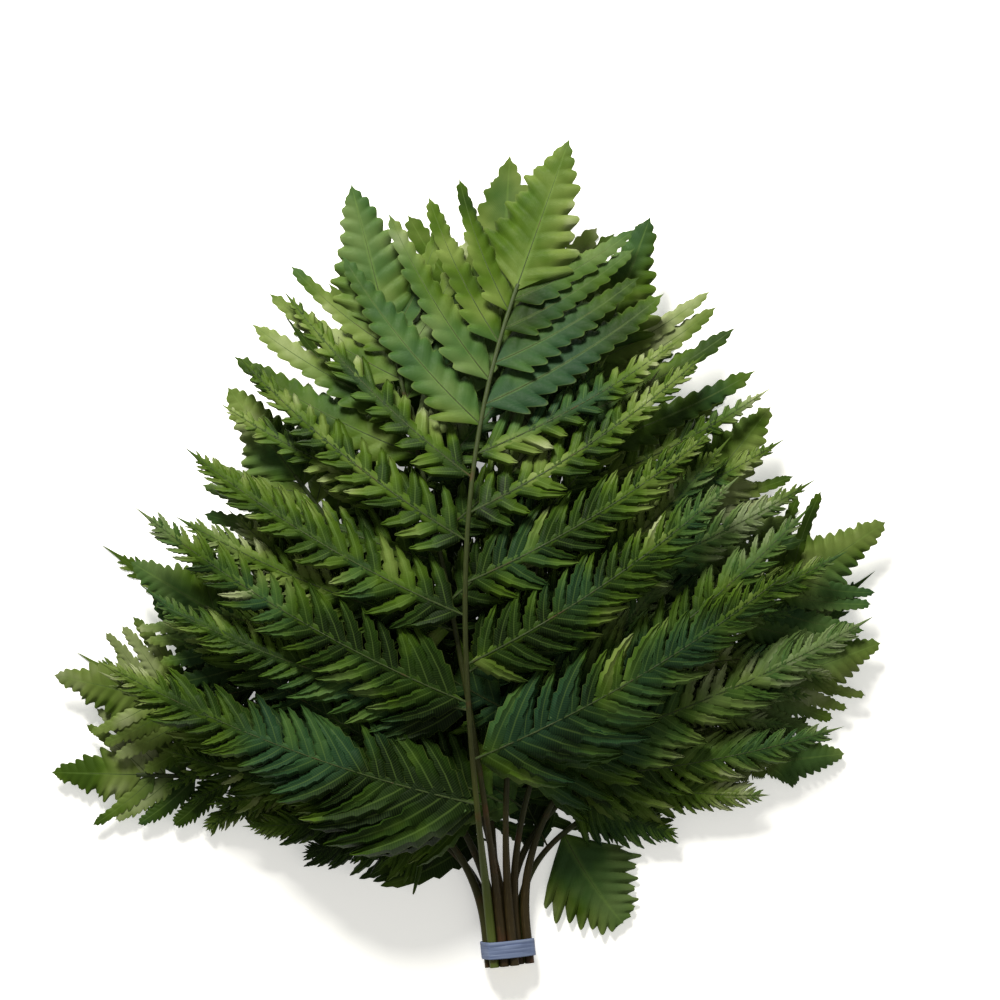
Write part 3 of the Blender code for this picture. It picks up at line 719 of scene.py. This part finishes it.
def cutStalk():
    # the fresh cut across a stem: pale pith round darker strands
    face, shader = newFinish("fernStalkCutFace", 0.75, 0.3)
    place = node(face, "TexCoord", out="Object")
    size = perMetre(stalkSkin["strand"])
    strands = node(face, "TexVoronoi", {"feature": "F1"}, Vector=place, Scale=size)
    piths = [(0.12, "#5a4524"), (0.35, "#a08f5a"), (0.8, "#c3b683")]
    feed(shader, dict(Base_Color=node(face, "ValToRGB", {"stops": piths}, i0=strands)))
    return face


# The band: turns round the stems, its section, and its pattern's lines and dust
tieBand = {
    "turns": 4.0, "wide": 2.5, "thick": 0.8, "steps": 56, "sides": 12, "corner": 0.28, "soften": 7,
    "play": 0.05, "inset": 0.15, "lines": (14.0, 0.6, 1.0), "dust": 6.25, "relief": 0.2,
}


def rubberBand():
    # moulded and cut rubber band, faintly blue, matt, with cut lines along it
    rubber, shader = newFinish("paleBlueRubberBand", 0.62, 0.4)
    place = node(rubber, "TexCoord", out="Object")
    uv = node(rubber, "UVMap", {"uv_map": "along"})
    stretched = node(rubber, "Mapping", Vector=uv, Scale=tieBand["lines"])
    lines = node(rubber, "TexNoise", Vector=stretched, Scale=1.0, Detail=3.0)
    dust = node(rubber, "TexNoise", Vector=place, Scale=perMetre(tieBand["dust"]), Detail=3.0)
    blues = [(0.3, "#435072"), (0.55, "#62708f"), (0.8, "#8a96ad")]
    colour = node(rubber, "ValToRGB", {"stops": blues}, i0=lines)
    dust = node(rubber, "Math", times, i0=dust, i1=0.35)
    colour = node(rubber, "Mix", colours, 2, i0=dust, i6=colour, i7=linear("#4d566e"))
    bump = node(rubber, "Bump", Height=lines, Strength=0.35, Distance=tieBand["relief"] * mm)
    feed(shader, dict(Base_Color=colour, Normal=bump))
    return rubber


# Painted light and shade in the leaves' colour: painted light makes them palest at the bunch's outline,
# most of all low at its sides, and painted shade makes them deepest low in its middle; a random age for
# each blade and frond comes on top
leafAgeAndPaintedLight = {
    "middle": (-20.0, -80.0), "halfWide": 215.0, "halfLong": 285.0, "start": 0.1, "outline": 0.55,
    "litSidesFrom": 95.0, "litSidesOver": 90.0, "lowFrom": -15.0, "lowOver": 60.0, "sides": 0.32,
    "paintedShadeAt": (0.0, -95.0), "paintedShadeWide": 120.0, "paintedShadeLong": 50.0, "paintedShade": 0.30,
    "eachBlade": 0.24, "eachFrond": 0.18, "sharp": 62.0,
}


def paintedLightAt(x, y):
    # painted light by eased distance from the middle, more of it low at both sides, and painted shade as a
    # bell where it is deepest
    acrossOut = (x - leafAgeAndPaintedLight["middle"][0]) / leafAgeAndPaintedLight["halfWide"]
    alongOut = (y - leafAgeAndPaintedLight["middle"][1]) / leafAgeAndPaintedLight["halfLong"]
    outline = ease((np.hypot(acrossOut, alongOut) + leafAgeAndPaintedLight["start"]) / (1.0 + leafAgeAndPaintedLight["start"]))
    # painted light on the low sides, where the tips catch the light
    sides = ease((np.abs(x) - leafAgeAndPaintedLight["litSidesFrom"]) / leafAgeAndPaintedLight["litSidesOver"])
    sides = sides * ease((leafAgeAndPaintedLight["lowFrom"] - y) / leafAgeAndPaintedLight["lowOver"])
    shadeAcross = (x - leafAgeAndPaintedLight["paintedShadeAt"][0]) / leafAgeAndPaintedLight["paintedShadeWide"]
    shadeAlong = (y - leafAgeAndPaintedLight["paintedShadeAt"][1]) / leafAgeAndPaintedLight["paintedShadeLong"]
    paintedShade = np.exp(-shadeAcross ** 2 - shadeAlong ** 2)
    return leafAgeAndPaintedLight["outline"] * outline + leafAgeAndPaintedLight["sides"] * sides - leafAgeAndPaintedLight["paintedShade"] * paintedShade


def makeLeaves(layer, blades, finishes):
    # every leaflet of a frond: small leaves on both edges of a blade, or one lobed blade
    parts = Parts()
    for blade in blades:
        bladeAge = leafAgeAndPaintedLight["eachBlade"] * draws(blade["seed"] * 7.0 + 0.6)
        if blade["lobed"]:
            grids = [lobedGrid(blade)]
        else:
            grids = [lobeGrids(blade, 1.0), lobeGrids(blade, -1.0), webGrid(blade)]
        for points, uvs, tone, stations, flip in grids:
            count, each = points.shape[:2]
            four, eight, under = lobeFaces(stations, flip)
            jump = (np.arange(count) * each)[:, None, None]
            blocks = [((four[None] + jump).reshape(-1, 4), np.tile(under, count)),
                      ((eight[None] + jump).reshape(-1, 8), 0.0)]
            # painted light and shade by place in the plan, with a random age for each blade and for the
            # frond
            agesAndLight = paintedLightAt(points[..., 0].ravel(), points[..., 1].ravel()) + bladeAge
            agesAndLight = agesAndLight + leafAgeAndPaintedLight["eachFrond"] * draws(layer * 3.7)
            parts.add(points.reshape(-1, 3), uvs.reshape(-1, 2), tone.ravel(), agesAndLight, blocks)
    frond = "frond_%02d" % (layer + 1)
    return putMesh(frond + "_leaves", parts, finishes, frond, leafAgeAndPaintedLight["sharp"])


# The stems and midribs with their groove and ridges, and the leaflets' thin ribs
stalks = {
    "bladeThick": 3.0, "tipThick": 1.9, "sides": 14, "groove": 0.17, "grooveWide": 0.42,
    "ridges": 7, "ridge": 0.025, "stations": 70, "intoEnd": 3.0, "sharp": 50.0,
    "ribSides": 6, "ribStations": 12, "ribTo": 0.97, "ribThick": 1.15, "ribTipThick": 0.35,
    "ribRaised": 0.15, "rootOver": 0.12, "fullRib": 150.0, "ribTone": 0.75,
}


def midribRadius(line, s):
    # the stem thins by an ease to the blade, and the midrib evenly on to the tip
    straight, stem = bunch["straightStem"], line["frond"]["stem"]
    thin = ease((s - straight) / (stem - straight))
    base = bunch["stemThick"] + (stalks["bladeThick"] - bunch["stemThick"]) * thin
    out = np.clip((s - stem) / line["blade"], 0.0, 1.0)
    return (base + (stalks["tipThick"] - stalks["bladeThick"]) * out) / 2.0


def grooveOutline(angles):
    # a round outline with a groove along the top, cut by a bell, and low ridges by a cosine
    off = np.abs(angles - np.pi / 2.0)
    off = np.minimum(off, 2.0 * np.pi - off)
    outline = 1.0 - stalks["groove"] * np.exp(-(off / stalks["grooveWide"]) ** 2)
    return outline + stalks["ridge"] * np.cos(stalks["ridges"] * angles)


def makeStalk(layer, line, blades, finishes):
    # a grooved stem and midrib, with the leaflets' thin ribs standing on their blades
    parts = Parts()
    endBlade = line["blade"] * leaflets["pairRatio"] ** (leaflets["pairs"] - leaflets["endFrom"])
    s = np.linspace(0.0, line["long"] - endBlade + stalks["intoEnd"], stalks["stations"])
    angles = np.linspace(0.0, 2.0 * np.pi, stalks["sides"], endpoint=False) + np.pi / 2.0
    radius = midribRadius(line, s)[:, None] * grooveOutline(angles)[None]
    points, (four, ends), turnShare = tube(midribPoint(line, s), radius, angles)
    along = np.repeat(s, stalks["sides"])
    uvs = np.stack([turnShare, along / uvLength], axis=-1)
    agesAndLight = np.full(len(points), draws(layer + 0.7))
    parts.add(points, uvs, along / line["long"], agesAndLight, [(four, 0.0), (ends, [1.0, 0.0])])
    ribSides = stalks["ribSides"]
    ribAngles = np.linspace(0.0, 2.0 * np.pi, ribSides, endpoint=False)
    share = np.linspace(0.0, stalks["ribTo"], stalks["ribStations"])
    for blade in blades:
        middle = bladePoint(blade, share * blade["long"], np.zeros(len(share)))
        toRoot = (blade["root"][2] - middle[0, 2]) * (1.0 - ease(share / stalks["rootOver"]))
        middle[:, 2] = middle[:, 2] + toRoot + stalks["ribRaised"]
        size = min(1.0, (blade["long"] / stalks["fullRib"]) ** 0.5)
        thick = stalks["ribThick"] + (stalks["ribTipThick"] - stalks["ribThick"]) * share ** 0.8
        radius = np.repeat(size * thick[:, None] / 2.0, ribSides, axis=1)
        points, (four, ends), turnShare = tube(middle, radius, ribAngles)
        uvs = np.stack([turnShare, np.repeat(share * blade["long"], ribSides) / uvLength], axis=-1)
        tones = stalks["ribTone"] + (1.0 - stalks["ribTone"]) * np.repeat(share, ribSides)
        parts.add(points, uvs, tones, np.zeros(len(points)), [(four, 0.0), (ends, 0.0)])
    frond = "frond_%02d" % (layer + 1)
    return putMesh(frond + "_stalk", parts, finishes, frond, stalks["sharp"])


def makeTie(finish):
    # a flat band wound in a flat coil round the outline of all the stems: at each turn of the
    # coil it lies over the stem that stands furthest out that way, softened between stems
    origin, right, forward = tieAxes()
    stems = [(frond["slot"] * bunch["stemPitch"], rowHeight(frond["row"])) for frond in fronds]
    middles = np.array(stems)
    steps = int(tieBand["turns"] * tieBand["steps"]) + 1
    turn = np.linspace(0.0, tieBand["turns"] * 2.0 * np.pi, steps) - np.pi / 2.0
    out = np.stack([np.cos(turn), np.sin(turn)], axis=-1)
    chosen = middles[np.argmax(out @ middles.T, axis=1)]
    span = tieBand["soften"]
    even = np.ones(span) / span
    padded = np.pad(chosen, ((span // 2, span // 2), (0, 0)), mode="edge")
    soft = np.stack([np.convolve(padded[:, i], even, mode="valid") for i in (0, 1)], axis=-1)
    reach = bunch["stemThick"] / 2.0 + bunch["clearance"] + tieBand["thick"] / 2.0 + tieBand["play"]
    ring = soft + reach * out
    room = bunch["tieWide"] - tieBand["wide"] - 2.0 * tieBand["inset"]
    wound = bunch["tieStart"] + tieBand["inset"] + tieBand["wide"] / 2.0
    wound = wound + room * np.linspace(0.0, 1.0, steps)
    middle = np.column_stack([origin + ring[:, :1] * right + wound[:, None] * forward, ring[:, 1]])
    outward = np.column_stack([out[:, :1] * right, out[:, 1]])
    along = np.column_stack([np.tile(forward, (steps, 1)), np.zeros(steps)])
    sides = tieBand["sides"]
    angles = (np.arange(sides) + 0.5) * 2.0 * np.pi / sides
    wide = np.sign(np.cos(angles)) * np.abs(np.cos(angles)) ** tieBand["corner"] * tieBand["wide"] / 2.0
    thick = np.sign(np.sin(angles)) * np.abs(np.sin(angles)) ** tieBand["corner"] * tieBand["thick"] / 2.0
    points = middle[:, None] + wide[None, :, None] * along[:, None]
    points = points + thick[None, :, None] * outward[:, None]
    four, ends = tubeFaces(steps, sides)
    around = np.broadcast_arrays((np.arange(sides) / sides)[None], (turn * 1.2)[:, None])
    blank = np.zeros(steps * sides)
    parts = Parts()
    parts.add(points.reshape(-1, 3), np.stack(around, axis=-1).reshape(-1, 2), blank, blank,
              [(four, 0.0), (ends, 0.0)])
    return putMesh("tie_band", parts, [finish], "tie", stalks["sharp"])


# The lights, as place, disk size and power, and the near-white floor, in metres and watts
studioLights = {
    "key": ((-0.25, 0.95, 0.75), 0.4, 35.0), "fill": ((0.9, -0.6, 1.8), 1.6, 5.0),
    "warm": (1.0, 0.97, 0.90), "sky": (1.0, 0.98, 0.88, 1.0), "skyStrength": 0.32,
    "floorHalf": 3.0, "floorColour": "#f4f4f2", "floorGlow": 0.40,
}


def studio():
    # a near-white floor that glows a little, as a light table does, a broad key from beyond
    # the tips, a weak fill and a soft sky
    half = studioLights["floorHalf"]
    floor = bpy.data.meshes.new("pale_floor")
    corners = [(-half, -half, 0), (half, -half, 0), (half, half, 0), (-half, half, 0)]
    floor.from_pydata(corners, [], [(0, 1, 2, 3)])
    board = bpy.data.objects.new("pale_floor", floor)
    bpy.context.scene.collection.objects.link(board)
    paint, shader = newFinish("paleMattFloor", 0.9, 0.2)
    feed(shader, dict(Base_Color=linear(studioLights["floorColour"]), Emission_Color=linear("#ffffff"),
                      Emission_Strength=studioLights["floorGlow"]))
    floor.materials.append(paint)
    for name in ("key", "fill"):
        place, size, power = studioLights[name]
        light = bpy.data.lights.new(name, "AREA")
        light.shape = "DISK"
        light.size, light.energy, light.color = size, power, studioLights["warm"]
        lamp = bpy.data.objects.new(name, light)
        lamp.location = place
        lamp.rotation_euler = (-Vector(place)).to_track_quat("-Z", "Y").to_euler()
        bpy.context.scene.collection.objects.link(lamp)
    world = bpy.data.worlds.new("softSky")
    world.use_nodes = True
    sky = world.node_tree.nodes["Background"]
    feed(sky, dict(i0=studioLights["sky"], i1=studioLights["skyStrength"]))
    bpy.context.scene.world = world
    bpy.context.scene.view_settings.view_transform = "Standard"


# Straight down with the tips at the top: the photograph spans half a metre over its 1000
# pixels, and the bunch's middle stands at this pixel of it
overhead = {
    "photoSpan": 0.5, "photoPixels": 1000.0, "middleAt": (467.5, 555.0),
    "away": 2.4, "pileMiddle": 0.03, "sensor": 36.0, "farthest": 20.0,
}


def lookDown():
    # the lens is long enough for the photograph's span to fill the sensor from that far away
    camera = bpy.data.cameras.new("overhead")
    camera.sensor_width = overhead["sensor"]
    camera.lens = overhead["sensor"] * overhead["away"] / overhead["photoSpan"]
    camera.clip_end = overhead["farthest"]
    seen = bpy.data.objects.new("overhead", camera)
    perPixel = overhead["photoSpan"] / overhead["photoPixels"]
    half = overhead["photoPixels"] / 2.0
    x, y = overhead["middleAt"]
    height = overhead["away"] + overhead["pileMiddle"]
    seen.location = ((half - x) * perPixel, (y - half) * perPixel, height)
    bpy.context.scene.collection.objects.link(seen)
    bpy.context.scene.camera = seen


leafFinishes = [fernUpper(), fernUnder()]
stalkFinishes = [fernStalk(), cutStalk()]
total = 0
for layer in range(len(fronds)):
    line = midribLine(layer)
    blades = frondBlades(line)
    leaves = makeLeaves(layer, blades, leafFinishes)
    stalk = makeStalk(layer, line, blades, stalkFinishes)
    total += len(leaves.data.polygons) + len(stalk.data.polygons)
    print("frond", layer + 1, "made,", total, "faces so far")
makeTie(rubberBand())
print("tie made")
studio()
lookDown()
print("studio and camera made")
